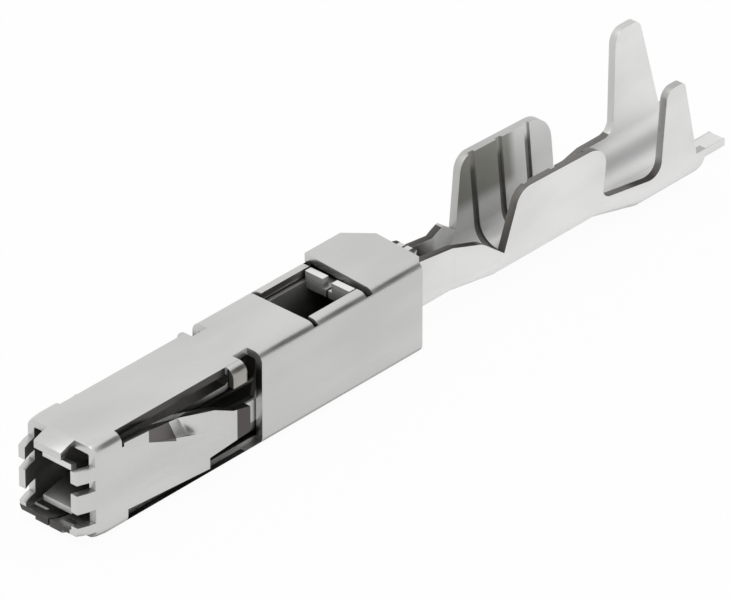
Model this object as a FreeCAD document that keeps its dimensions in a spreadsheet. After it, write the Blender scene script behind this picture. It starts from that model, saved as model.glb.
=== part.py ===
import FreeCAD, Part
import math
import os
from types import SimpleNamespace
import Sketcher

# Crimp socket terminal: a folded steel spring box round a folded contact body.
# X runs from the mouth to the wire end, Y across, Z up. Lengths are in millimetres.
# Both pieces are drawn with X = 0 at the mouth and then placed about the middle of the length.

SIZES = {
    # sheet of the spring box and its bends
    "box_sheet": 0.2,
    "box_bend": 0.25,
    "box_width": 2.2,
    "box_height": 2.5,
    "box_length": 11.45,
    "box_seam": 0.05,
    # mouth, drawn in towards its end
    "mouth_length": 0.8,
    "mouth_inset": 0.18,
    # notches that part the mouth into tabs, the slots on both sides of the middle tab
    "notch_depth": 0.46,
    "end_tab_width": 0.85,
    "middle_tab_height": 0.5,
    "middle_tab_drop": 0.13,
    "upper_slot_height": 0.28,
    "lower_slot_height": 0.37,
    "top_corner_notch": 0.52,
    "bottom_corner_notch": 0.26,
    # window in the roof, with the length of roof behind it
    "rear_roof_length": 1.68,
    "window_length": 2.0,
    "window_margin": 0.35,
    "slit_margin": 0.04,
    "front_slit_length": 0.13,
    "rear_slit_length": 0.22,
    # roof flap behind the window, lying on the far wall
    "flap_rise": 0.12,
    "flap_gap": 0.02,
    "flap_overhang": 0.15,
    "flap_corner": 0.6,
    # opening round each side lance
    "opening_front": 1.3,
    "opening_length": 4.65,
    "opening_relief_length": 0.17,
    "opening_relief_down": 0.34,
    "opening_rise": 0.1,
    "roof_notch_length": 0.5,
    "roof_notch_depth": 0.22,
    "roof_tab_length": 0.45,
    "roof_tab_down": 0.5,
    # side lance, heights counted down from the roof or up from the floor, places back from its end
    "lance_end_gap": 0.72,
    "lance_flare": 0.3,
    "lance_front_rise": 0.41,
    "lance_step_back": 1.25,
    "lance_step_rise": 0.7,
    "lance_rear_rise": 0.93,
    "lance_top_down": 0.26,
    "lance_shoulder_back": 1.1,
    "lance_shoulder_down": 0.57,
    "lance_drop_back": 0.52,
    "lance_drop_down": 0.84,
    "lance_end_down": 0.93,
    # strip along the lance's upper edge, dented inward between two ends that stay flat
    "dent_start_back": 3.1,
    "dent_deep_back": 1.9,
    "dent_end_back": 1.28,
    "dent_depth": 0.34,
    "dent_overlap": 0.03,
    "crease_start_down": 0.59,
    "crease_deep_down": 0.86,
    "crease_end_down": 1.08,
    "dent_deep_top_down": 0.58,
    "dent_end_top_down": 0.53,
    # sheet of the contact body and its fit in the box
    "body_sheet": 0.2,
    "body_bend": 0.3,
    "side_clearance": 0.04,
    "roof_clearance": 0.06,
    # channel and roof parts inside the box
    "channel_front": 3.2,
    "low_wall_length": 2.8,
    "low_wall_slope": 0.3,
    "low_wall_top": 1.2,
    "bridge_length": 1.4,
    "body_flap_show": 0.42,
    "body_flap_half_width": 0.7,
    "body_flap_end_half": 0.32,
    "body_flap_gap": 0.06,
    # stops that stand up from the flaps into the window and hold the box on the body
    "stop_gap": 0.28,
    "stop_clearance": 0.01,
    "channel_end_gap": 0.25,
    # contact beams, upper and lower
    "beam_width": 0.9,
    "beam_sheet": 0.16,
    "beam_tip": 0.3,
    "beam_contact": 1.25,
    "beam_lead": 0.24,
    "upper_beam_drop_length": 0.9,
    "tab_gap": 0.55,
    # neck
    "neck_start": 0.65,
    "neck_length": 1.15,
    "neck_half_width": 0.43,
    "neck_rise": 0.55,
    "neck_bend": 0.25,
    "neck_spread_length": 1.25,
    "neck_wall_top": 1.95,
    "neck_slope_length": 0.6,
    "neck_slope_top": 1.72,
    "neck_slope_round": 0.3,
    # notch between the neck and the conductor wings
    "notch_back": 0.07,
    "notch_bottom_top": 1.27,
    # conductor barrel
    "conductor_length": 3.6,
    "conductor_half_width": 0.8,
    "conductor_flat": 0.04,
    "conductor_rise": 0.42,
    "conductor_top": 3.03,
    "conductor_top_drop": 0.08,
    "near_conductor_down": 0.12,
    "conductor_top_half": 1.06,
    "conductor_front_lean": 0.38,
    "conductor_front_round": 0.45,
    "conductor_rear_round": 0.7,
    # serration grooves inside the conductor barrel
    "groove_start": 0.72,
    "groove_width": 0.2,
    "groove_depth": 0.06,
    "groove_pitch": 0.97,
    # low waist between the two barrels
    "waist_length": 1.38,
    "waist_top": 1.2,
    "waist_round": 0.25,
    # insulation barrel
    "insulation_length": 3.12,
    "insulation_half_width": 1.1,
    "insulation_flat": 0.04,
    "insulation_rise": 0.13,
    "insulation_top": 3.87,
    "insulation_top_half": 1.3,
    "near_wing_top": 3.53,
    "near_wing_back": 0.42,
    "far_wing_back": 1.1,
    "near_wing_base": 1.32,
    "far_wing_base": 1.71,
    "near_front_taper": 0.05,
    "far_front_taper": 0.2,
    "wing_rear_taper": 0.64,
    "wing_root_round": 0.35,
    "near_rear_margin": 0.35,
    # cut-off tail of the carrier strip
    "tail_length": 0.75,
    "tail_width": 0.5,
}


class Size:
    # a length that knows both its value and the expression that ties it to the sheet
    def __init__(self, value, text):
        self.value = value
        self.text = text

    def __add__(self, other):
        other = as_size(other)
        return Size(self.value + other.value, f"({self.text} + {other.text})")

    def __sub__(self, other):
        other = as_size(other)
        return Size(self.value - other.value, f"({self.text} - {other.text})")

    def __mul__(self, other):
        other = as_size(other)
        return Size(self.value * other.value, f"({self.text} * {other.text})")

    def __truediv__(self, other):
        other = as_size(other)
        return Size(self.value / other.value, f"({self.text} / {other.text})")

    def __neg__(self):
        return Size(-self.value, f"(-1 * {self.text})")


def as_size(number):
    return number if isinstance(number, Size) else Size(float(number), str(number))


doc = FreeCAD.newDocument("crimp_socket_terminal")
sheet = doc.addObject("Spreadsheet::Sheet", "sizes")
for row, (alias, value) in enumerate(SIZES.items(), start=1):
    sheet.set(f"A{row}", alias)
    sheet.set(f"B{row}", str(value))
    sheet.setAlias(f"B{row}", alias)
doc.recompute()
d = SimpleNamespace(**{alias: Size(value, f"sizes.{alias}") for alias, value in SIZES.items()})
zero = Size(0.0, "0")
overshoot = Size(0.5, "0.5")

# places along X, each counted on from the one before
window_rear = d.box_length - d.rear_roof_length
window_front = window_rear - d.window_length
lance_root = d.opening_front + d.opening_relief_length
opening_rear = d.opening_front + d.opening_length
lance_end = opening_rear - d.lance_end_gap
bridge_front = d.channel_front + d.low_wall_length + d.low_wall_slope
channel_rear = d.box_length - d.channel_end_gap
neck_front = d.box_length + d.neck_start
neck_rear = neck_front + d.neck_length
conductor_front = neck_rear + d.neck_spread_length
conductor_rear = conductor_front + d.conductor_length
insulation_front = conductor_rear + d.waist_length
insulation_rear = insulation_front + d.insulation_length
whole_length = insulation_rear + d.tail_length

# inside of the box, and the contact body's outside in it
channel_half = d.box_width / 2 - d.box_sheet - d.side_clearance
channel_top = d.box_height - d.box_sheet - d.roof_clearance


# Sketch outlines


def plane_of(body, role):
    return next(item for item in body.Origin.OriginFeatures if item.Role == role)


def corner_round(before, corner, after, radius):
    # arc of this radius in a corner, where it meets the two sides, and whether it turns left
    to_before = (before - corner).normalize()
    to_after = (after - corner).normalize()
    half_angle = to_before.getAngle(to_after) / 2
    run = radius / math.tan(half_angle)
    centre = corner + (to_before + to_after).normalize() * (radius / math.sin(half_angle))
    first = corner + to_before * run
    last = corner + to_after * run
    left_turn = to_after.cross(to_before).z > 0
    ends = [first, last] if left_turn else [last, first]
    angles = [math.atan2(end.y - centre.y, end.x - centre.x) for end in ends]
    circle = Part.Circle(centre, FreeCAD.Vector(0, 0, 1), radius)
    return Part.ArcOfCircle(circle, angles[0], angles[1]), first, last, left_turn


def place_point(sketch, geometry, position, across, up):
    # ties one point of the sketch to two sizes, both measured from the sketch's origin
    for kind, size in (("DistanceX", across), ("DistanceY", up)):
        index = sketch.addConstraint(Sketcher.Constraint(kind, -1, 1, geometry, position, size.value))
        sketch.setExpression(f"Constraints[{index}]", size.text)


def draw_loop(sketch, corners):
    # corners are (across, up) or (across, up, radius) for a rounded one
    points = [FreeCAD.Vector(c[0].value, c[1].value, 0) for c in corners]
    count = len(corners)
    start = {}
    arcs = {}
    for i, corner in enumerate(corners):
        if len(corner) == 3:
            arcs[i] = corner_round(points[i - 1], points[i], points[(i + 1) % count], corner[2].value)
    for i in range(count):
        following = (i + 1) % count
        first = arcs[i][2] if i in arcs else points[i]
        last = arcs[following][1] if following in arcs else points[following]
        start[i] = sketch.addGeometry(Part.LineSegment(first, last), False)
    for i, corner in enumerate(corners):
        line_in = start[(i - 1) % count]
        line_out = start[i]
        if i not in arcs:
            sketch.addConstraint(Sketcher.Constraint("Coincident", line_in, 2, line_out, 1))
            place_point(sketch, line_out, 1, corner[0], corner[1])
            continue
        curve, _, _, left_turn = arcs[i]
        arc = sketch.addGeometry(curve, False)
        at_in, at_out = (1, 2) if left_turn else (2, 1)
        vertex = sketch.addGeometry(Part.Point(points[i]), True)
        place_point(sketch, vertex, 1, corner[0], corner[1])
        sketch.addConstraint(Sketcher.Constraint("PointOnObject", vertex, 1, line_in))
        sketch.addConstraint(Sketcher.Constraint("PointOnObject", vertex, 1, line_out))
        sketch.addConstraint(Sketcher.Constraint("Tangent", line_in, 2, arc, at_in))
        sketch.addConstraint(Sketcher.Constraint("Tangent", line_out, 1, arc, at_out))
        index = sketch.addConstraint(Sketcher.Constraint("Radius", arc, corner[2].value))
        sketch.setExpression(f"Constraints[{index}]", corner[2].text)


def new_sketch(body, name, role, offset, *loops):
    sketch = body.newObject("Sketcher::SketchObject", name)
    sketch.AttachmentSupport = (plane_of(body, role), [""])
    sketch.MapMode = "FlatFace"
    sketch.setExpression(".AttachmentOffset.Base.z", offset.text)
    for corners in loops:
        draw_loop(sketch, corners)
    doc.recompute()
    return sketch


def rectangle(left, bottom, right, top, radius=None):
    corners = [(left, bottom), (right, bottom), (right, top), (left, top)]
    return corners if radius is None else [corner + (radius,) for corner in corners]


# Features, each checked to have added or taken material


def tried(body, feature, sign):
    before = feature.BaseFeature.Shape.Volume if feature.BaseFeature else 0.0
    doc.recompute()
    change = feature.Shape.Volume - before
    if not feature.Shape.isValid() or change * sign <= 0:
        raise RuntimeError(f"{feature.Name} changed the volume by {change:.5f}")
    return feature


def extrude(body, kind, name, sketch, length, along_normal):
    feature = body.newObject(f"PartDesign::{kind}", name)
    feature.Profile = sketch
    feature.setExpression("Length", length.text)
    feature.Reversed = along_normal if kind == "Pocket" else not along_normal
    return tried(body, feature, -1 if kind == "Pocket" else 1)


def loft(body, kind, name, sketches):
    feature = body.newObject(f"PartDesign::{kind}Loft", name)
    feature.Profile = sketches[0]
    feature.Sections = sketches[1:]
    feature.Ruled = True
    return tried(body, feature, 1 if kind == "Additive" else -1)


def mirror(body, name, originals):
    feature = body.newObject("PartDesign::Mirrored", name)
    feature.Originals = originals
    feature.MirrorPlane = (plane_of(body, "XZ_Plane"), [""])
    body.Tip = feature
    doc.recompute()
    return feature


def repeat_along_x(body, name, original, pitch, count):
    feature = body.newObject("PartDesign::LinearPattern", name)
    feature.Originals = [original]
    feature.Direction = (plane_of(body, "X_Axis"), [""])
    feature.setExpression("Length", (pitch * (count - 1)).text)
    feature.Occurrences = count
    body.Tip = feature
    doc.recompute()
    return feature


# Spring box


def box_section(inset, skin):
    # the box's outline drawn in by inset, and by skin for the inside of the sheet
    half = d.box_width / 2 - inset - skin
    radius = d.box_bend - skin
    return rectangle(-half, inset + skin, half, d.box_height - inset - skin, radius)


def fold_shell(body):
    # the tube of the box with its mouth drawn in, first solid and then hollowed
    straight = d.box_length - d.mouth_length
    steps = 3
    for kind, side, skin in (("Additive", "outside", zero), ("Subtractive", "inside", d.box_sheet)):
        tube = new_sketch(body, f"{side}_tube", "YZ_Plane", d.mouth_length, box_section(zero, skin))
        extrude(body, "Pad" if kind == "Additive" else "Pocket", f"{side}_straight", tube, straight, True)
        sections = []
        for step in range(steps + 1):
            share = step / steps
            outline = box_section(d.mouth_inset * share ** 2, skin)
            along = d.mouth_length * (1 - share)
            sections.append(new_sketch(body, f"{side}_mouth_{step}", "YZ_Plane", along, outline))
        loft(body, kind, f"{side}_mouth", sections)


def notch_mouth(body):
    # four corner notches and two slots a side leave one end tab above and below and three at each side
    edge = d.box_width / 2 + overshoot
    tab = d.end_tab_width / 2
    top = d.box_height
    deep = d.box_width / 2 - d.mouth_inset - d.box_sheet - d.box_bend
    loops = []
    middle = top / 2 - d.middle_tab_drop
    upper = middle + d.middle_tab_height / 2
    lower = middle - d.middle_tab_height / 2
    for near in (True, False):
        bands = [
            (tab, top - d.top_corner_notch, top + overshoot),
            (deep, upper, upper + d.upper_slot_height),
            (deep, lower - d.lower_slot_height, lower),
            (tab, -overshoot, d.bottom_corner_notch),
        ]
        for inner, low, high in bands:
            loops.append(rectangle(-edge, low, -inner, high) if near else rectangle(inner, low, edge, high))
    sketch = new_sketch(body, "mouth_notch_outline", "YZ_Plane", zero, *loops)
    extrude(body, "Pocket", "mouth_notches", sketch, d.notch_depth, True)


def cut_window(body):
    # a slit at each corner runs out into the bend
    side = d.box_width / 2 - d.window_margin
    slit = d.box_width / 2 - d.slit_margin
    front_side = window_front + d.front_slit_length
    rear_side = window_rear - d.rear_slit_length
    outline = [
        (window_front, -slit),
        (front_side, -slit),
        (front_side, -side),
        (rear_side, -side),
        (rear_side, -slit),
        (window_rear, -slit),
        (window_rear, slit),
        (rear_side, slit),
        (rear_side, side),
        (front_side, side),
        (front_side, slit),
        (window_front, slit),
    ]
    sketch = new_sketch(body, "window_outline", "XY_Plane", d.box_height, outline)
    extrude(body, "Pocket", "window", sketch, d.box_bend, False)


def fold_rear_flap(body):
    # behind the window the roof is a flap from the near wall that rises a little and lies on the far wall
    length = d.rear_roof_length
    half = d.box_width / 2
    hinge = -(half - d.box_bend)
    far_edge = half + overshoot
    clear = rectangle(hinge, d.box_height - d.box_bend, far_edge, d.box_height + overshoot)
    sketch = new_sketch(body, "rear_roof_cut_outline", "YZ_Plane", window_rear, clear)
    extrude(body, "Pocket", "rear_roof_cut", sketch, length, True)
    under = d.box_height - d.box_sheet
    wall_top = under + d.flap_rise - d.flap_gap
    wall = rectangle(half - d.box_sheet, under - d.box_bend, half, wall_top)
    extrude(body, "Pad", "far_wall_edge", new_sketch(body, "far_wall_edge_outline", "YZ_Plane", window_rear, wall),
            length, True)
    flap = [(hinge, under), (half, under + d.flap_rise), (half, d.box_height + d.flap_rise), (hinge, d.box_height)]
    extrude(body, "Pad", "rear_flap", new_sketch(body, "rear_flap_outline", "YZ_Plane", window_rear, flap),
            length + d.flap_overhang, True)
    flap_rear = d.box_length + d.flap_overhang
    corner = [
        (flap_rear - d.flap_corner, half + overshoot),
        (flap_rear - d.flap_corner, half),
        (flap_rear, half - d.flap_corner),
        (flap_rear + overshoot, half - d.flap_corner),
        (flap_rear + overshoot, half + overshoot),
    ]
    top = d.box_height + d.flap_rise
    sketch = new_sketch(body, "flap_corner_outline", "XY_Plane", top, corner)
    extrude(body, "Pocket", "flap_corner_cut", sketch, d.box_sheet + d.flap_rise, False)


def dent_lance_strip(body):
    # above a sloping crease the lance's upper edge is pressed inward, deepest between two flat ends
    places = (
        (d.dent_start_back, d.crease_start_down, d.lance_top_down, zero),
        (d.dent_deep_back, d.crease_deep_down, d.dent_deep_top_down, d.dent_depth),
        (d.dent_end_back, d.crease_end_down, d.dent_end_top_down, zero),
    )
    sections = []
    for number, (back, crease_down, top_down, depth) in enumerate(places):
        along = lance_end - back
        outer = d.box_width / 2 + d.lance_flare * (along - lance_root) / (lance_end - lance_root)
        inner = outer - d.box_sheet
        low = d.box_height - crease_down - d.dent_overlap
        high = d.box_height - top_down
        outline = [(-outer, low), (-inner, low), (-(inner - depth), high), (-(outer - depth), high)]
        sections.append(new_sketch(body, f"dent_section_{number}", "YZ_Plane", along, outline))
    return loft(body, "Additive", "dented_strip", sections)


def cut_side_lance(body):
    # opening round one lance, with a short tab of roof bent into it, the flared tongue and its trimmed edges
    wall = d.box_width / 2
    top = d.box_height
    above = top + overshoot
    tab_rear = opening_rear - d.roof_notch_length
    tab_front = tab_rear - d.roof_tab_length
    opening = [
        (d.opening_front, top - d.opening_relief_down),
        (lance_root, top - d.opening_relief_down),
        (lance_root, d.opening_rise),
        (opening_rear, d.opening_rise),
        (opening_rear, above),
        (tab_rear, above),
        (tab_rear, top - d.roof_tab_down),
        (tab_front, top - d.roof_tab_down),
        (tab_front, above),
        (d.opening_front, above),
    ]
    outside = wall + d.lance_flare + overshoot
    depth = d.lance_flare + overshoot + d.box_bend
    sketch = new_sketch(body, "opening_outline", "XZ_Plane", outside, opening)
    opening_cut = extrude(body, "Pocket", "lance_opening", sketch, depth, False)
    root = lance_root - d.box_sheet / 2
    tongue = [
        (root, -wall),
        (lance_root, -wall),
        (lance_end, -(wall + d.lance_flare)),
        (lance_end, -(wall + d.lance_flare - d.box_sheet)),
        (lance_root, -(wall - d.box_sheet)),
        (root, -(wall - d.box_sheet)),
    ]
    height = top - d.lance_top_down - d.lance_front_rise
    sketch = new_sketch(body, "tongue_outline", "XY_Plane", d.lance_front_rise, tongue)
    tongue_pad = extrude(body, "Pad", "lance_tongue", sketch, height, True)
    beyond = lance_end + d.box_sheet
    dent_start = lance_end - d.dent_start_back
    dent_end = lance_end - d.dent_end_back
    upper = [
        (dent_start, top - d.crease_start_down),
        (dent_end, top - d.crease_end_down),
        (dent_end, top - d.dent_end_top_down),
        (lance_end - d.lance_shoulder_back, top - d.lance_shoulder_down),
        (lance_end - d.lance_drop_back, top - d.lance_drop_down),
        (lance_end, top - d.lance_end_down),
        (beyond, top - d.lance_end_down),
        (beyond, above),
        (dent_start, above),
    ]
    lower = [
        (lance_end - d.lance_step_back, d.opening_rise),
        (beyond, d.opening_rise),
        (beyond, d.lance_rear_rise),
        (lance_end - d.lance_step_back, d.lance_step_rise),
    ]
    sketch = new_sketch(body, "lance_trim_outline", "XZ_Plane", outside, upper, lower)
    trim_cut = extrude(body, "Pocket", "lance_trim", sketch, depth, False)
    strip = dent_lance_strip(body)
    notch = rectangle(opening_rear - d.roof_notch_length, -outside, opening_rear,
                      -(wall - d.box_bend - d.roof_notch_depth))
    sketch = new_sketch(body, "roof_notch_outline", "XY_Plane", top, notch)
    notch_cut = extrude(body, "Pocket", "roof_notch", sketch, d.box_bend, False)
    mirror(body, "far_lance", [opening_cut, tongue_pad, trim_cut, strip, notch_cut])


def slit_seam(body):
    # the two edges of the blank meet along the middle of the floor
    half_gap = d.box_seam / 2
    outline = rectangle(-overshoot, -half_gap, d.box_length + overshoot, half_gap)
    sketch = new_sketch(body, "seam_outline", "XY_Plane", zero - d.box_bend, outline)
    extrude(body, "Pocket", "floor_seam", sketch, d.box_bend + d.mouth_inset + d.box_sheet, True)


def make_spring_box():
    body = doc.addObject("PartDesign::Body", "spring_box")
    fold_shell(body)
    notch_mouth(body)
    cut_window(body)
    fold_rear_flap(body)
    cut_side_lance(body)
    slit_seam(body)
    return body


# Contact body


def trough(half, rise, bend, top_half, top, skin):
    # closed outline of a trough's outside, or of its inside when skin is the sheet
    return [
        (-(half - skin), rise + skin, bend - skin),
        (half - skin, rise + skin, bend - skin),
        (top_half - skin, top + skin),
        (-(top_half - skin), top + skin),
    ]


def conductor_shape():
    bend = d.conductor_half_width - d.conductor_flat / 2
    return d.conductor_half_width, d.conductor_rise, bend, d.conductor_top_half, d.conductor_top


def fold_troughs(body):
    # one strip of sheet: channel in the box, neck, conductor barrel, waist and insulation barrel
    channel = (channel_half, d.box_sheet, d.body_bend, channel_half, channel_top)
    neck = (d.neck_half_width, d.neck_rise, d.neck_bend, d.neck_half_width, channel_top)
    insulation_bend = d.insulation_half_width - d.insulation_flat / 2
    insulation = (d.insulation_half_width, d.insulation_rise, insulation_bend,
                  d.insulation_top_half, d.insulation_top)
    stations = [
        ("channel_front", d.channel_front, channel),
        ("channel_rear", channel_rear, channel),
        ("neck_front", neck_front, neck),
        ("neck_rear", neck_rear, neck),
        ("conductor_front", conductor_front, conductor_shape()),
        ("conductor_rear", conductor_rear, conductor_shape()),
        ("insulation_front", insulation_front, insulation),
        ("tail_end", whole_length, insulation),
    ]
    for kind, side, skin in (("Additive", "outside", zero), ("Subtractive", "inside", d.body_sheet)):
        sections = []
        for place, along, shape in stations:
            outline = trough(*shape, skin)
            sections.append(new_sketch(body, f"{side}_{place}", "YZ_Plane", along, outline))
        loft(body, kind, f"{side}_trough", sections)


def cut_serrations(body):
    # three shallow grooves across the inside of the conductor barrel
    skin = d.body_sheet - d.groove_depth
    outline = trough(*conductor_shape(), skin)
    sketch = new_sketch(body, "groove_outline", "YZ_Plane", conductor_front + d.groove_start, outline)
    groove = extrude(body, "Pocket", "first_groove", sketch, d.groove_width, True)
    repeat_along_x(body, "grooves", groove, d.groove_pitch, 3)


def trim_walls(body):
    # what the walls lose ahead of the bridge and above the neck, the conductor wings and the waist
    above = d.insulation_top + overshoot
    reach = d.insulation_top_half + overshoot
    low_end = d.channel_front + d.low_wall_length
    ahead = [
        (d.channel_front - overshoot, d.low_wall_top),
        (low_end, d.low_wall_top),
        (bridge_front, channel_top),
        (bridge_front, above),
        (d.channel_front - overshoot, above),
    ]
    sketch = new_sketch(body, "low_wall_outline", "XZ_Plane", reach, ahead)
    extrude(body, "Pocket", "low_wall_trim", sketch, reach * 2, False)
    notch = conductor_front + d.notch_back
    sides = (("near", d.conductor_top - d.near_conductor_down, True), ("far", d.conductor_top, False))
    for side, tip, along_normal in sides:
        wall = [
            (channel_rear, channel_top),
            (neck_front, d.neck_wall_top),
            (notch - d.neck_slope_length, d.neck_slope_top, d.neck_slope_round),
            (notch, d.notch_bottom_top),
            (notch + d.conductor_front_lean, tip, d.conductor_front_round),
            (conductor_rear, tip - d.conductor_top_drop, d.conductor_rear_round),
            (conductor_rear, d.waist_top, d.waist_round),
            (insulation_front, d.waist_top),
            (insulation_front, above),
            (channel_rear, above),
        ]
        sketch = new_sketch(body, f"{side}_wall_outline", "XZ_Plane", zero, wall)
        extrude(body, "Pocket", f"{side}_wall_trim", sketch, reach, along_normal)


def trim_insulation_wings(body):
    # each wing is a tapered tongue, and the far one stands further back
    above = d.insulation_top + overshoot
    reach = d.insulation_top_half + overshoot
    rear = whole_length + overshoot
    start = insulation_front - d.waist_length / 4
    wings = (
        ("near", d.near_wing_back, d.near_wing_base, d.near_wing_top, d.near_front_taper, True),
        ("far", d.far_wing_back, d.far_wing_base, d.insulation_top, d.far_front_taper, False),
    )
    for side, setback, base, tip, front_taper, along_normal in wings:
        front = insulation_front + setback
        back = front + base
        tip_front = front + front_taper
        tip_rear = back - d.wing_rear_taper
        tip_width = tip_rear - tip_front
        middle = tip_front + tip_width * 0.6
        front_round = tip_width * 0.45
        rear_round = tip_width * 0.3
        before = [
            (start, d.waist_top),
            (front, d.waist_top, d.wing_root_round),
            (tip_front, tip, front_round),
            (middle, tip),
            (middle, above),
            (start, above),
        ]
        behind = [
            (rear, d.waist_top),
            (rear, above),
            (middle, above),
            (middle, tip),
            (tip_rear, tip, rear_round),
            (back, d.waist_top),
        ]
        sketch = new_sketch(body, f"{side}_front_outline", "XZ_Plane", zero, before)
        extrude(body, "Pocket", f"{side}_wing_front", sketch, reach, along_normal)
        sketch = new_sketch(body, f"{side}_rear_outline", "XZ_Plane", zero, behind)
        extrude(body, "Pocket", f"{side}_wing_rear", sketch, reach, along_normal)


def fold_channel_roof(body):
    # a bridge that carries the upper beam, and two flaps that meet behind the window, each with a stop
    under = channel_top - d.body_sheet
    bridge = rectangle(-channel_half, under, channel_half, channel_top)
    sketch = new_sketch(body, "bridge_outline", "YZ_Plane", bridge_front, bridge)
    extrude(body, "Pad", "bridge", sketch, d.bridge_length, True)
    front = window_rear - d.body_flap_show
    flap = [
        (front, -d.body_flap_half_width),
        (channel_rear, -d.body_flap_half_width),
        (neck_front, -d.body_flap_end_half),
        (neck_front, -(d.body_flap_gap / 2)),
        (front, -(d.body_flap_gap / 2)),
    ]
    sketch = new_sketch(body, "body_flap_outline", "XY_Plane", under, flap)
    flap_pad = extrude(body, "Pad", "body_flap", sketch, d.body_sheet, True)
    stop = rectangle(front, -d.body_flap_half_width, front + d.body_sheet, -(d.stop_gap / 2))
    sketch = new_sketch(body, "stop_outline", "XY_Plane", under, stop)
    stop_pad = extrude(body, "Pad", "stop", sketch, d.box_height - d.stop_clearance - under, True)
    mirror(body, "far_flap_and_stop", [flap_pad, stop_pad])


def add_beams(body):
    # spring beams that drop to a knee, reach forward a tab's thickness apart and open again at their tips
    bottom = d.box_sheet
    middle = (channel_top + bottom) / 2
    thick = d.beam_sheet
    beams = (
        ("upper", channel_top, 1, bridge_front, bridge_front - d.upper_beam_drop_length),
        ("lower", bottom, -1, d.channel_front, (d.channel_front + d.beam_contact) / 2),
    )
    for name, wall, sign, front, knee in beams:
        root = front + d.body_sheet
        grip = middle + d.tab_gap / 2 * sign
        back = grip + thick * sign
        tip = grip + d.beam_lead * sign
        outline = [
            (root, wall),
            (root, wall - thick * sign),
            (front, wall - thick * sign),
            (knee, grip),
            (d.beam_contact, grip),
            (d.beam_tip, tip),
            (d.beam_tip, tip + thick * sign),
            (d.beam_contact, back),
            (knee, back),
            (front, wall),
        ]
        sketch = new_sketch(body, f"{name}_beam_outline", "XZ_Plane", d.beam_width / 2, outline)
        extrude(body, "Pad", f"{name}_beam", sketch, d.beam_width, False)


def cut_tail(body):
    # only a narrow stub of the floor is left where the terminal was cut from its carrier strip
    half = d.tail_width / 2
    reach = d.insulation_top_half + overshoot
    rear = whole_length + overshoot
    near_rear = insulation_front + d.near_wing_back + d.near_wing_base + d.near_rear_margin
    sides = [rectangle(near_rear, -reach, rear, -half), rectangle(insulation_rear, half, rear, reach)]
    sketch = new_sketch(body, "tail_sides_outline", "XY_Plane", zero, *sides)
    extrude(body, "Pocket", "tail_sides", sketch, d.insulation_top + overshoot, True)


def make_contact_body():
    body = doc.addObject("PartDesign::Body", "contact_body")
    fold_troughs(body)
    cut_serrations(body)
    trim_walls(body)
    trim_insulation_wings(body)
    cut_tail(body)
    fold_channel_roof(body)
    add_beams(body)
    return body


def write_parts(bodies):
    for body in bodies:
        body.Label = body.Name
        body.setExpression(".Placement.Base.x", (-(whole_length / 2)).text)
    doc.recompute()
    for item in doc.Objects:
        if "Invalid" in item.State or "Error" in item.State:
            raise RuntimeError(f"{item.Name} failed: {item.State}")
    os.makedirs("parts", exist_ok=True)
    for body in bodies:
        if body.Shape.isNull() or not body.Shape.isValid():
            raise RuntimeError(f"{body.Label} has no valid shape")
        box = body.Shape.BoundBox
        print(f"{body.Label}: {len(body.Shape.Solids)} solid, {body.Shape.Volume:.3f} mm3,"
              f" x {box.XMin:.2f}..{box.XMax:.2f} y {box.YMin:.2f}..{box.YMax:.2f} z {box.ZMin:.2f}..{box.ZMax:.2f}")
        body.Shape.exportStep(f"parts/{body.Label}.step")


write_parts([make_spring_box(), make_contact_body()])
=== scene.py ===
import math
import bpy
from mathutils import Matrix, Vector


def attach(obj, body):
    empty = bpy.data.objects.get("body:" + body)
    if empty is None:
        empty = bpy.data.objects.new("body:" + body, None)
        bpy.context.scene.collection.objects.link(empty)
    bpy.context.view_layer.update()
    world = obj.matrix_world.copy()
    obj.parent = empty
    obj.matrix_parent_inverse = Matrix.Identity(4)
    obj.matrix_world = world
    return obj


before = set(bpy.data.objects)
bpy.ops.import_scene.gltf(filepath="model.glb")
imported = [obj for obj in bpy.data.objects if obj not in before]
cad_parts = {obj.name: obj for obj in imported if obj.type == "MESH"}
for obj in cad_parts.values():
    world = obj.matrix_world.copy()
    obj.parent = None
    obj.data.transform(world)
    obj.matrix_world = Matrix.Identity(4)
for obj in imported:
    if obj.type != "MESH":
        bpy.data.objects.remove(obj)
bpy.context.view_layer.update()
mm = 0.001
scene = bpy.context.scene
print("frame loaded")


def addMesh(name, points, faces):
    mesh = bpy.data.meshes.new(name)
    mesh.from_pydata(points, [], faces)
    mesh.validate()
    piece = bpy.data.objects.new(name, mesh)
    scene.collection.objects.link(piece)
    return piece


# Shader helpers. A mask is 1 where something applies and 0 elsewhere

def addNode(tree, kind, **settings):
    node = tree.nodes.new(kind)
    for name, value in settings.items():
        setattr(node, name, value)
    return node


def feed(tree, socket, value):
    # from another node's output, a colour or a plain number
    if isinstance(value, bpy.types.NodeSocket):
        tree.links.new(value, socket)
    elif isinstance(value, tuple):
        socket.default_value = value + (1.0,)
    else:
        socket.default_value = value


def maths(tree, operation, first, second=0.0):
    node = addNode(tree, "ShaderNodeMath", operation=operation)
    feed(tree, node.inputs[0], first)
    feed(tree, node.inputs[1], second)
    return node.outputs["Value"]


def above(tree, value, limit):
    return maths(tree, "GREATER_THAN", value, limit)


def below(tree, value, limit):
    return maths(tree, "LESS_THAN", value, limit)


def between(tree, value, low, high):
    node = addNode(tree, "ShaderNodeMath", operation="COMPARE")
    feed(tree, node.inputs[0], value)
    feed(tree, node.inputs[1], (low + high) / 2)
    feed(tree, node.inputs[2], (high - low) / 2)
    return node.outputs["Value"]


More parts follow.
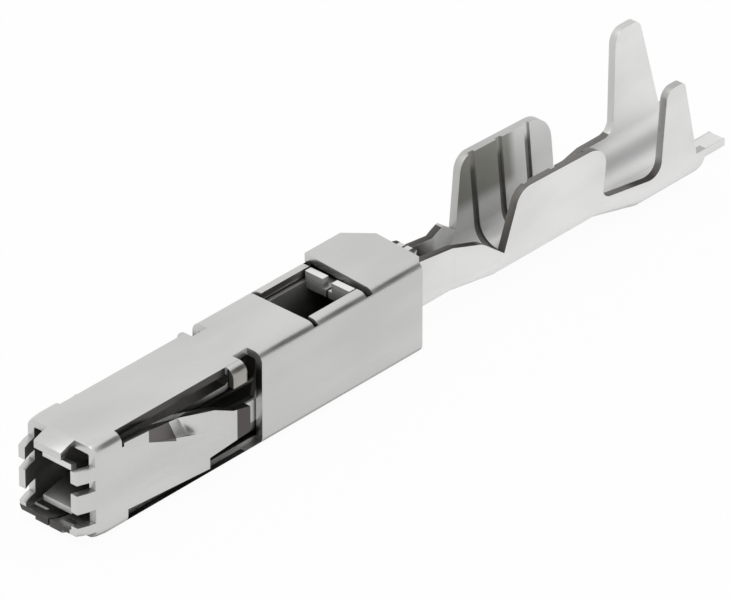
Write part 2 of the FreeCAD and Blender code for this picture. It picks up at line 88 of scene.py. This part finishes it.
def ramp(tree, value, fromLow, fromHigh, toLow, toHigh, shape="SMOOTHSTEP"):
    node = addNode(tree, "ShaderNodeMapRange", interpolation_type=shape)
    feed(tree, node.inputs["Value"], value)
    feed(tree, node.inputs["From Min"], fromLow)
    feed(tree, node.inputs["From Max"], fromHigh)
    feed(tree, node.inputs["To Min"], toLow)
    feed(tree, node.inputs["To Max"], toHigh)
    return node.outputs["Result"]


def rising(tree, value, limits):
    return ramp(tree, value, *limits, 0.0, 1.0)


def falling(tree, value, limits):
    return ramp(tree, value, *limits, 1.0, 0.0)


def joinMasks(tree, operation, masks):
    result = masks[0]
    for mask in masks[1:]:
        result = maths(tree, operation, result, mask)
    return result


def allOf(tree, *masks):
    return joinMasks(tree, "MULTIPLY", masks)


def anyOf(tree, *masks):
    return joinMasks(tree, "MAXIMUM", masks)


def inZone(tree, spot, zone):
    # inside a box of the object's space, given by the axes that bound it
    return allOf(tree, *(between(tree, spot[axis], *limits) for axis, limits in zone.items()))


def blend(tree, kind, factor, first, second):
    node = addNode(tree, "ShaderNodeMix", data_type=kind)
    feed(tree, node.inputs["Factor"], factor)
    feed(tree, node.inputs["A"], first)
    feed(tree, node.inputs["B"], second)
    return node.outputs["Result"]


def noise(tree, coords, stretch, scale, detail):
    mapping = addNode(tree, "ShaderNodeMapping")
    mapping.inputs["Scale"].default_value = stretch
    tree.links.new(coords.outputs["Object"], mapping.inputs["Vector"])
    texture = addNode(tree, "ShaderNodeTexNoise")
    texture.inputs["Scale"].default_value = scale
    texture.inputs["Detail"].default_value = detail
    tree.links.new(mapping.outputs["Vector"], texture.inputs["Vector"])
    return texture.outputs["Fac"]


def splitVector(tree, vector):
    node = addNode(tree, "ShaderNodeSeparateXYZ")
    tree.links.new(vector, node.inputs["Vector"])
    return node.outputs["X"], node.outputs["Y"], node.outputs["Z"]


# Sheet metal: grain, clouds and scratches, with tints by place that are mostly painted shade and one painted
# dark reflection, and painted shade inside the folds

sheetLook = {
    "grainDetail": 3.0,
    "cloudDetail": 2.0,
    "scratchDetail": 1.0,
    "noiseRange": (0.3, 0.7),  # most of the noise lies between these
    "scratchRange": (0.62, 0.72),  # only its highest streaks are scratches
    "shelterSamples": 8,
}


def readSpot(tree, coords):
    # where a point of the surface lies and which way it faces
    geometry = addNode(tree, "ShaderNodeNewGeometry")
    spot = dict(zip(("x", "y", "z"), splitVector(tree, coords.outputs["Object"])))
    facing = splitVector(tree, geometry.outputs["True Normal"])
    spot.update(zip(("faceX", "faceY", "faceZ"), facing))
    spot["across"] = maths(tree, "ABSOLUTE", spot["y"])
    spot["sideways"] = maths(tree, "ABSOLUTE", spot["faceY"])
    return spot


def foldShade(tree, sky, lit, look):
    # painted shade: 1 deep inside the folds, where little of the sky is seen, and 0 in the open
    shelter = addNode(tree, "ShaderNodeAmbientOcclusion", samples=sheetLook["shelterSamples"])
    shelter.inputs["Distance"].default_value = look["shelterReach"]
    openness = anyOf(tree, maths(tree, "MULTIPLY", shelter.outputs["AO"], sky), lit)
    return falling(tree, openness, look["shelterRange"])


def sheetMetal(name, look, paint):
    material = bpy.data.materials.new(name)
    material.use_nodes = True
    tree = material.node_tree
    shader = tree.nodes["Principled BSDF"]
    coords = addNode(tree, "ShaderNodeTexCoord")
    grain, cloud, scratch = (
        noise(tree, coords, look[pattern + "Stretch"], look[pattern + "Scale"], sheetLook[pattern + "Detail"])
        for pattern in ("grain", "cloud", "scratch"))

    clouding = rising(tree, cloud, sheetLook["noiseRange"])
    colour = blend(tree, "RGBA", clouding, look["darkColour"], look["lightColour"])
    tints, sky, lit = paint(tree, readSpot(tree, coords), look)
    for mask, tint in tints:
        colour = blend(tree, "RGBA", mask, colour, tint)
    # painted shade inside the folds
    colour = blend(tree, "RGBA", foldShade(tree, sky, lit, look), colour, look["foldShadeColour"])
    tree.links.new(colour, shader.inputs["Base Color"])

    rough = ramp(tree, grain, *sheetLook["noiseRange"], *look["roughness"], "LINEAR")
    dull = ramp(tree, scratch, *sheetLook["scratchRange"], 0.0, look["scratchDull"])
    tree.links.new(maths(tree, "ADD", rough, dull), shader.inputs["Roughness"])
    shader.inputs["Metallic"].default_value = look["metallic"]

    bump = addNode(tree, "ShaderNodeBump")
    bump.inputs["Strength"].default_value = look["bumpStrength"]
    bump.inputs["Distance"].default_value = look["bumpDepth"]
    height = maths(tree, "ADD", grain, maths(tree, "MULTIPLY", scratch, look["scratchShare"]))
    tree.links.new(height, bump.inputs["Height"])
    tree.links.new(bump.outputs["Normal"], shader.inputs["Normal"])
    return material


# Spring box: rolled stainless sheet, brushed along its length

springBoxLook = {
    "darkColour": (0.56, 0.56, 0.55),
    "lightColour": (0.63, 0.63, 0.62),
    "metallic": 0.9,
    "roughness": (0.27, 0.36),
    "grainStretch": (0.05, 1.0, 1.0),
    "grainScale": 60000.0,
    "cloudStretch": (0.35, 1.0, 1.0),
    "cloudScale": 600.0,
    "scratchStretch": (0.03, 1.0, 1.0),
    "scratchScale": 9000.0,
    "scratchShare": 0.6,
    "scratchDull": 0.06,
    "bumpStrength": 0.15,
    "bumpDepth": 0.002 * mm,
    "uprightFacing": 0.85,  # from here on a face looks sideways
    "lengthwiseFacing": 0.12,  # below this it doesn't
    # painted shade on the cut edges
    "bareEdgeAndShadeColour": (0.07, 0.068, 0.065),
    "bendStart": 0.9 * mm,
    "lanceZone": {"x": (-10.4 * mm, -6.25 * mm), "z": (-0.1 * mm, 2.45 * mm)},
    "rearEdgeZone": {"x": (-5.8 * mm, -5.6 * mm)},
    "rearEdgeLow": (1.3 * mm, 1.6 * mm),
    "rearEdgeHigh": (2.0 * mm, 2.35 * mm),
    "litEdgeZone": {"x": (-5.8 * mm, -5.6 * mm), "z": (0.5 * mm, 1.36 * mm)},
    "roofZone": {"x": (-10.4 * mm, -6.7 * mm), "y": (-0.87 * mm, 0.87 * mm), "z": (2.25 * mm, 2.6 * mm)},
    "lipFacing": -0.9,
    "lipZone": {"x": (-11.8 * mm, -11.4 * mm), "y": (-0.66 * mm, 1.1 * mm), "z": (-0.1 * mm, 0.4 * mm)},
    # painted shade on the upright sides of the tabs at the mouth
    "tabSideShadeColour": (0.24, 0.235, 0.22),
    "mouthTabZone": {"x": (-11.8 * mm, -11.1 * mm), "y": (-0.7 * mm, 0.7 * mm), "z": (2.2 * mm, 2.6 * mm)},
    # lighter painted shade on the window's cut faces and on the roof tab
    "paleShadeColour": (0.36, 0.345, 0.315),
    "windowZone": {"x": (-4.2 * mm, -1.8 * mm), "y": (-0.87 * mm, 0.87 * mm), "z": (2.2 * mm, 2.6 * mm)},
    "roofTabZone": {"x": (-6.7 * mm, -6.2 * mm), "y": (-1.12 * mm, -0.95 * mm), "z": (1.95 * mm, 2.45 * mm)},
    # painted shade on the dented strip of each lance
    "dentShadeColour": (0.13, 0.122, 0.115),
    "dentFacing": 0.5,
    "dentClear": 0.6 * mm,
    "dentZone": {"x": (-9.55 * mm, -8.72 * mm), "z": (1.2 * mm, 2.3 * mm)},
    "creaseSlope": 0.385,  # the crease falls this much for each millimetre towards the wire
    "creaseLevel": -1.75 * mm,
    # painted shade on the rear end of each lance
    "tipShadeColour": (0.09, 0.078, 0.078),
    "tipClear": 1.15 * mm,
    "tipZone": {"x": (-6.85 * mm, -6.4 * mm), "z": (0.5 * mm, 1.8 * mm)},
    # painted shade inside the folds
    "foldShadeColour": (0.02, 0.018, 0.016),
    "shelterReach": 1.2 * mm,
    "shelterRange": (0.15, 0.6),
}


def boxEdgeShade(tree, spot, upright, look):
    # painted shade on the darkest cut edges: round the lance openings, along the roof and at the lower lip
    lengthwise = below(tree, spot["sideways"], look["lengthwiseFacing"])
    outer = above(tree, spot["across"], look["bendStart"])
    ledges = allOf(tree, inZone(tree, spot, look["lanceZone"]), lengthwise, outer)
    rearEdge = allOf(tree, inZone(tree, spot, look["rearEdgeZone"]), lengthwise, outer,
                     rising(tree, spot["z"], look["rearEdgeLow"]),
                     falling(tree, spot["z"], look["rearEdgeHigh"]))
    roofEdges = allOf(tree, inZone(tree, spot, look["roofZone"]), upright)
    lip = allOf(tree, inZone(tree, spot, look["lipZone"]), below(tree, spot["faceX"], look["lipFacing"]))
    return anyOf(tree, ledges, roofEdges, rearEdge, lip)


def lanceDentShade(tree, spot, look):
    # painted shade on the dented strip of each lance, down to its slanting crease
    slant = maths(tree, "MULTIPLY", spot["x"], look["creaseSlope"])
    overCrease = above(tree, maths(tree, "ADD", spot["z"], slant), look["creaseLevel"])
    return allOf(tree, inZone(tree, spot, look["dentZone"]), overCrease,
                 above(tree, spot["sideways"], look["dentFacing"]),
                 above(tree, spot["across"], look["dentClear"]))


def paintBox(tree, spot, look):
    # masks with their painted shade tints, then the share of sky left and a mask of what stays lit
    upright = above(tree, spot["sideways"], look["uprightFacing"])
    # painted shade on the upright sides of the tabs at the mouth
    tabSideShade = allOf(tree, inZone(tree, spot, look["mouthTabZone"]), upright)
    # lighter painted shade on the upright cut faces round the window and on the whole roof tab
    windowEdges = allOf(tree, inZone(tree, spot, look["windowZone"]), upright)
    roofTab = inZone(tree, spot, look["roofTabZone"])
    # painted shade on the rear end of each lance
    lanceEndShade = allOf(tree, inZone(tree, spot, look["tipZone"]), upright,
                     above(tree, spot["across"], look["tipClear"]))
    tints = [
        (boxEdgeShade(tree, spot, upright, look), look["bareEdgeAndShadeColour"]),
        (tabSideShade, look["tabSideShadeColour"]),
        (anyOf(tree, windowEdges, roofTab), look["paleShadeColour"]),
        (lanceDentShade(tree, spot, look), look["dentShadeColour"]),
        (lanceEndShade, look["tipShadeColour"]),
    ]
    wholeSky = 1.0
    litEdge = inZone(tree, spot, look["litEdgeZone"])  # low on the edge behind each lance
    return tints, wholeSky, litEdge


steel = sheetMetal("springSteelSheet", springBoxLook, paintBox)
print("spring steel ready")


# Contact body: copper alloy under bright tin, bare and darker where the sheet was sheared, with painted shade
# on those cut edges, in the grooves and in the folds, and a painted dark reflection on the far conductor wing

contactBodyLook = {
    "darkColour": (0.74, 0.74, 0.73),
    "lightColour": (0.82, 0.82, 0.815),
    "metallic": 0.8,
    "roughness": (0.36, 0.48),
    "grainStretch": (1.0, 1.0, 1.0),
    "grainScale": 25000.0,
    "cloudStretch": (0.5, 1.0, 1.0),
    "cloudScale": 700.0,
    "scratchStretch": (1.0, 0.3, 0.3),
    "scratchScale": 7000.0,
    "scratchShare": 0.5,
    "scratchDull": 0.06,
    "bumpStrength": 0.12,
    "bumpDepth": 0.003 * mm,
    "boxRear": -0.3 * mm,
    # bare metal of the sheared edges, with painted shade
    "bareEdgeAndShadeColour": (0.17, 0.163, 0.15),
    "edgeFacing": (0.12, 0.2),
    "edgeClear": 0.2 * mm,
    "farFrontShare": 0.45,
    "farRearShare": 0.3,
    "nearRearShare": 0.5,
    "waistZone": {"x": (6.5 * mm, 8.75 * mm)},
    "waistTop": (1.3 * mm, 2.0 * mm),
    "waistRear": 7.6 * mm,
    # painted shade on the deepest cut edges
    "deepEdgeShadeColour": (0.05, 0.045, 0.04),
    "neckZone": {"x": (0.3 * mm, 2.2 * mm)},
    "rootFront": (7.15 * mm, 7.5 * mm),
    "rootRear": (8.25 * mm, 8.5 * mm),
    "rootTop": (1.2 * mm, 1.45 * mm),
    # painted shade in the serration grooves
    "grooveShadeColour": (0.09, 0.088, 0.075),
    "grooveShadeDepth": 0.8,
    "grooveStart": 3.545 * mm,
    "groovePitch": 0.97 * mm,
    "grooveWidth": 0.2 * mm,
    "grooveSpan": 2.425 * mm,  # ends between the third groove and where a fourth would be
    "grooveFacing": 0.03,
    "grooveFade": (2.45 * mm, 2.75 * mm),
    # painted dark reflection on the far conductor wing's inner side
    "darkReflectionColour": (0.3, 0.298, 0.26),
    "darkReflectionDepth": 0.85,
    "darkReflectionFacing": -0.3,
    "darkReflectionClear": 0.3 * mm,
    "darkReflectionFront": 2.5 * mm,
    "darkReflectionRear": (4.85 * mm, 5.2 * mm),
    "darkReflectionLow": (1.55 * mm, 1.95 * mm),
    "coveredFade": (0.6 * mm, 2.3 * mm),
    "outwardLimit": 0.02 * mm,
    "gapZone": {"x": (-6.4 * mm, -5.6 * mm), "y": (-1.0 * mm, -0.8 * mm), "z": (0.62 * mm, 1.4 * mm)},
    "tipZone": {"x": (-11.8 * mm, -11.2 * mm), "z": (1.2 * mm, 2.3 * mm)},
    "windowZone": {"x": (-4.1 * mm, -1.85 * mm)},
    "windowLowZone": {"x": (-4.1 * mm, -1.85 * mm), "z": (-0.1 * mm, 2.35 * mm)},
    "windowDepth": 0.6,
    "insideShare": 0.38,
    # painted shade inside the folds
    "foldShadeColour": (0.05, 0.047, 0.038),
    "shelterReach": 2.0 * mm,
    "shelterRange": (0.03, 0.42),
}


def edgeShare(tree, spot, near, look):
    # how much cut edges darken, as bare metal with painted shade: in full at the near conductor wing and the
    # waist, less on the other wings
    front = ramp(tree, near, 0.0, 1.0, look["farFrontShare"], 1.0)
    rear = ramp(tree, near, 0.0, 1.0, look["farRearShare"], look["nearRearShare"])
    wing = blend(tree, "FLOAT", above(tree, spot["x"], look["waistRear"]), front, rear)
    waist = allOf(tree, inZone(tree, spot, look["waistZone"]), falling(tree, spot["z"], look["waistTop"]))
    return anyOf(tree, wing, waist)


def deepEdgeShade(tree, spot, near, look):
    # painted shade on the cut edges at the root of the near insulation wing, and at the neck
    root = allOf(tree, near, rising(tree, spot["x"], look["rootFront"]),
                 falling(tree, spot["x"], look["rootRear"]), falling(tree, spot["z"], look["rootTop"]))
    return anyOf(tree, root, inZone(tree, spot, look["neckZone"]))


def grooveShadeLines(tree, spot, look):
    # painted shade in the serration grooves inside the conductor barrel, gone near the top of its wings
    along = maths(tree, "SUBTRACT", spot["x"], look["grooveStart"])
    strip = below(tree, maths(tree, "MODULO", along, look["groovePitch"]), look["grooveWidth"])
    return allOf(tree, strip, between(tree, along, 0.0, look["grooveSpan"]),
                 above(tree, spot["faceZ"], look["grooveFacing"]),
                 falling(tree, spot["z"], look["grooveFade"]))


def darkReflectionPatch(tree, spot, look):
    # painted dark reflection on the upper front of the far conductor wing's inner side
    return allOf(tree, below(tree, spot["faceY"], look["darkReflectionFacing"]),
                 above(tree, spot["y"], look["darkReflectionClear"]), above(tree, spot["x"], look["darkReflectionFront"]),
                 falling(tree, spot["x"], look["darkReflectionRear"]), rising(tree, spot["z"], look["darkReflectionLow"]))


def bodySky(tree, spot, gap, look):
    # share of the sky left inside the box and the neck
    # the gap behind the near lance, the window and the beam tips stay lit
    window = inZone(tree, spot, look["windowZone"])
    beamTips = inZone(tree, spot, look["tipZone"])
    inward = below(tree, maths(tree, "MULTIPLY", spot["y"], spot["faceY"]), look["outwardLimit"])
    inBox = below(tree, spot["x"], look["boxRear"])
    covered = allOf(tree, falling(tree, spot["x"], look["coveredFade"]), anyOf(tree, inward, inBox))
    hidden = allOf(tree, covered, maths(tree, "SUBTRACT", 1.0, anyOf(tree, gap, window, beamTips)))
    windowLow = maths(tree, "MULTIPLY", inZone(tree, spot, look["windowLowZone"]), look["windowDepth"])
    return ramp(tree, anyOf(tree, hidden, windowLow), 0.0, 1.0, 1.0, look["insideShare"])


def paintBody(tree, spot, look):
    near = below(tree, spot["y"], 0.0)  # the camera's side
    sheared = allOf(tree, falling(tree, spot["sideways"], look["edgeFacing"]),
                    above(tree, spot["across"], look["edgeClear"]), above(tree, spot["x"], look["boxRear"]))
    # painted dark reflection on the far conductor wing
    darkReflection = maths(tree, "MULTIPLY", darkReflectionPatch(tree, spot, look), look["darkReflectionDepth"])
    grooveShade = maths(tree, "MULTIPLY", grooveShadeLines(tree, spot, look), look["grooveShadeDepth"])
    tints = [
        (darkReflection, look["darkReflectionColour"]),
        (grooveShade, look["grooveShadeColour"]),
        (allOf(tree, sheared, edgeShare(tree, spot, near, look)), look["bareEdgeAndShadeColour"]),
        (allOf(tree, sheared, deepEdgeShade(tree, spot, near, look)), look["deepEdgeShadeColour"]),
    ]
    gap = inZone(tree, spot, look["gapZone"])
    return tints, bodySky(tree, spot, gap, look), gap


tin = sheetMetal("tinPlatedSheet", contactBodyLook, paintBody)
print("tin plating ready")


# CAD pieces with broken edges and flat faces

edgeLook = {
    "weldGap": 0.0005 * mm,
    "flatAngle": 0.5,
    "bevelWidth": 0.018 * mm,
    "bevelSteps": 3,
    "bevelAngle": 38,
    "creaseAngle": 24,
}


def dress(piece, material, look):
    piece.data.materials.clear()
    piece.data.materials.append(material)
    for polygon in piece.data.polygons:
        polygon.use_smooth = True
    weld = piece.modifiers.new("weld", "WELD")
    weld.merge_threshold = look["weldGap"]
    flat = piece.modifiers.new("wholeFaces", "DECIMATE")  # joins the triangles of each flat face
    flat.decimate_type = "DISSOLVE"
    flat.angle_limit = math.radians(look["flatAngle"])
    bevel = piece.modifiers.new("brokenEdges", "BEVEL")
    bevel.width = look["bevelWidth"]
    bevel.segments = look["bevelSteps"]
    bevel.limit_method = "ANGLE"
    bevel.angle_limit = math.radians(look["bevelAngle"])
    bevel.harden_normals = False
    crease = piece.modifiers.new("creases", "EDGE_SPLIT")  # keeps shallow folds crisp
    crease.split_angle = math.radians(look["creaseAngle"])
    crease.use_edge_sharp = False
    normals = piece.modifiers.new("flatFaces", "WEIGHTED_NORMAL")
    normals.keep_sharp = True


dress(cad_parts["spring_box"], steel, edgeLook)
dress(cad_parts["contact_body"], tin, edgeLook)
print("pieces dressed")


# Short tab of roof, bent down into the near lance opening

roofTabLook = {
    "front": -6.675 * mm,
    "rear": -6.225 * mm,
    "low": 2.0 * mm,
    "halfWidth": 1.1 * mm,
    "top": 2.5 * mm,
    "bend": 0.25 * mm,
    "sheet": 0.2 * mm,
    "steps": 8,
}


def tabOutline(look):
    # across the part: down the outside of the bend and back up its inside
    centreY = look["halfWidth"] - look["bend"]
    centreZ = look["top"] - look["bend"]
    angles = [math.pi / 2 * (1 - step / look["steps"]) for step in range(look["steps"] + 1)]
    skins = []
    for radius in (look["bend"], look["bend"] - look["sheet"]):
        arc = [(centreY + radius * math.cos(angle), centreZ + radius * math.sin(angle)) for angle in angles]
        skins.append(arc + [(arc[-1][0], look["low"])])
    return skins[0] + skins[1][::-1]


def makeRoofTab(look):
    outline = tabOutline(look)
    count = len(outline)
    points = [(x, -y, z) for x in (look["front"], look["rear"]) for y, z in outline]
    ring = [(i, (i + 1) % count) for i in range(count)]
    faces = [(a, b, count + b, count + a) for a, b in ring]
    faces += [tuple(reversed(range(count))), tuple(range(count, 2 * count))]
    tab = addMesh("roof_tab", points, faces)
    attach(tab, "root")
    return tab


dress(makeRoofTab(roofTabLook), steel, edgeLook)
print("roof tab made")


# Floor, backdrop and lights

stageLook = {
    "roomLevel": 0.75,
    "flagDirection": (0.63, -0.56, 0.54),  # dark card that the folded top edges mirror
    "flagSpread": (30, 16),  # degrees from its middle to where it fades out and to where it is full
    "flagDepth": 0.97,
    "floorSize": 2.0,
    "floorColour": (0.9, 0.9, 0.9),
    "floorGlow": 1.0,
    "floorShare": 0.955,  # how much of it glows, while the rest takes the shadow
    "lampPlace": (-0.03, 0.02, 0.12),
    "lampSize": 0.08,
    "lampPower": 0.02,
}


def whiteRays(tree):
    # rays that show the background, to the camera, in metal and through glass, then those in metal alone
    path = addNode(tree, "ShaderNodeLightPath")
    glossy = path.outputs["Is Glossy Ray"]
    return anyOf(tree, path.outputs["Is Camera Ray"], glossy, path.outputs["Is Transmission Ray"]), glossy


def emptyTree(owner):
    owner.use_nodes = True
    owner.node_tree.nodes.clear()
    return owner.node_tree


def showMix(tree, outputKind, factor, first, second):
    mix = addNode(tree, "ShaderNodeMixShader")
    output = addNode(tree, outputKind)
    tree.links.new(factor, mix.inputs["Fac"])
    tree.links.new(first, mix.inputs[1])
    tree.links.new(second, mix.inputs[2])
    tree.links.new(mix.outputs["Shader"], output.inputs["Surface"])


def whiteSky(tree, strength):
    sky = addNode(tree, "ShaderNodeBackground")
    feed(tree, sky.inputs["Color"], (1.0, 1.0, 1.0))
    feed(tree, sky.inputs["Strength"], strength)
    return sky.outputs["Background"]


def flaggedLevel(tree, glossy, look):
    # 1, but nearly 0 where metal mirrors the dark card
    coords = addNode(tree, "ShaderNodeTexCoord")
    toFlag = addNode(tree, "ShaderNodeVectorMath", operation="DOT_PRODUCT")
    toFlag.inputs[1].default_value = Vector(look["flagDirection"]).normalized()
    tree.links.new(coords.outputs["Generated"], toFlag.inputs[0])
    fadeOut, full = (math.cos(math.radians(angle)) for angle in look["flagSpread"])
    flag = ramp(tree, toFlag.outputs["Value"], fadeOut, full, 0.0, look["flagDepth"])
    return maths(tree, "SUBTRACT", 1.0, maths(tree, "MULTIPLY", flag, glossy))


def makeWorld(look):
    scene.world = bpy.data.worlds.new("paleRoom")
    tree = emptyTree(scene.world)
    shown, glossy = whiteRays(tree)
    room = whiteSky(tree, look["roomLevel"])
    backdrop = whiteSky(tree, flaggedLevel(tree, glossy, look))
    showMix(tree, "ShaderNodeOutputWorld", shown, room, backdrop)


def floorPaper(look):
    # glows white to the camera and in metal, and keeps a share of plain paper for the shadow
    material = bpy.data.materials.new("whiteFloor")
    tree = emptyTree(material)
    paper = addNode(tree, "ShaderNodeBsdfDiffuse")
    feed(tree, paper.inputs["Color"], look["floorColour"])
    glow = addNode(tree, "ShaderNodeEmission")
    feed(tree, glow.inputs["Strength"], look["floorGlow"])
    shown, _ = whiteRays(tree)
    share = maths(tree, "MULTIPLY", shown, look["floorShare"])
    showMix(tree, "ShaderNodeOutputMaterial", share, paper.outputs["BSDF"], glow.outputs["Emission"])
    return material


def makeFloor(look):
    half = look["floorSize"] / 2
    corners = [(-half, -half, 0), (half, -half, 0), (half, half, 0), (-half, half, 0)]
    floor = addMesh("floor", corners, [(0, 1, 2, 3)])
    floor.data.materials.append(floorPaper(look))


def softLamp(name, look):
    lamp = bpy.data.lights.new(name, "AREA")
    lamp.shape = "SQUARE"
    lamp.size = look["lampSize"]
    lamp.energy = look["lampPower"]
    holder = bpy.data.objects.new(name, lamp)
    holder.location = look["lampPlace"]
    holder.rotation_euler = (-Vector(look["lampPlace"])).to_track_quat("-Z", "Y").to_euler()
    scene.collection.objects.link(holder)


makeWorld(stageLook)
makeFloor(stageLook)
softLamp("topLamp", stageLook)
print("stage ready")


# Camera, fitted to the photograph

cameraLook = {
    "target": (-1.0004 * mm, 0.0, 1.3731 * mm),
    "azimuth": 47.55,
    "elevation": 31.595,
    "distance": 215 * mm,
    "fieldWidth": 17.115 * mm,
    "sensorWidth": 36,
    "clipStart": 1 * mm,
    "clipEnd": 5,
}


def makeCamera(look):
    azimuth = math.radians(look["azimuth"])
    elevation = math.radians(look["elevation"])
    level = math.cos(elevation)
    forward = Vector((level * math.sin(azimuth), level * math.cos(azimuth), -math.sin(elevation)))
    data = bpy.data.cameras.new("camera")
    data.sensor_width = look["sensorWidth"]
    data.lens = look["sensorWidth"] * look["distance"] / look["fieldWidth"]
    data.clip_start = look["clipStart"]
    data.clip_end = look["clipEnd"]
    camera = bpy.data.objects.new("camera", data)
    camera.location = Vector(look["target"]) - forward * look["distance"]
    camera.rotation_euler = forward.to_track_quat("-Z", "Y").to_euler()
    scene.collection.objects.link(camera)
    scene.camera = camera


makeCamera(cameraLook)
scene.view_settings.view_transform = "Standard"
print("camera ready")
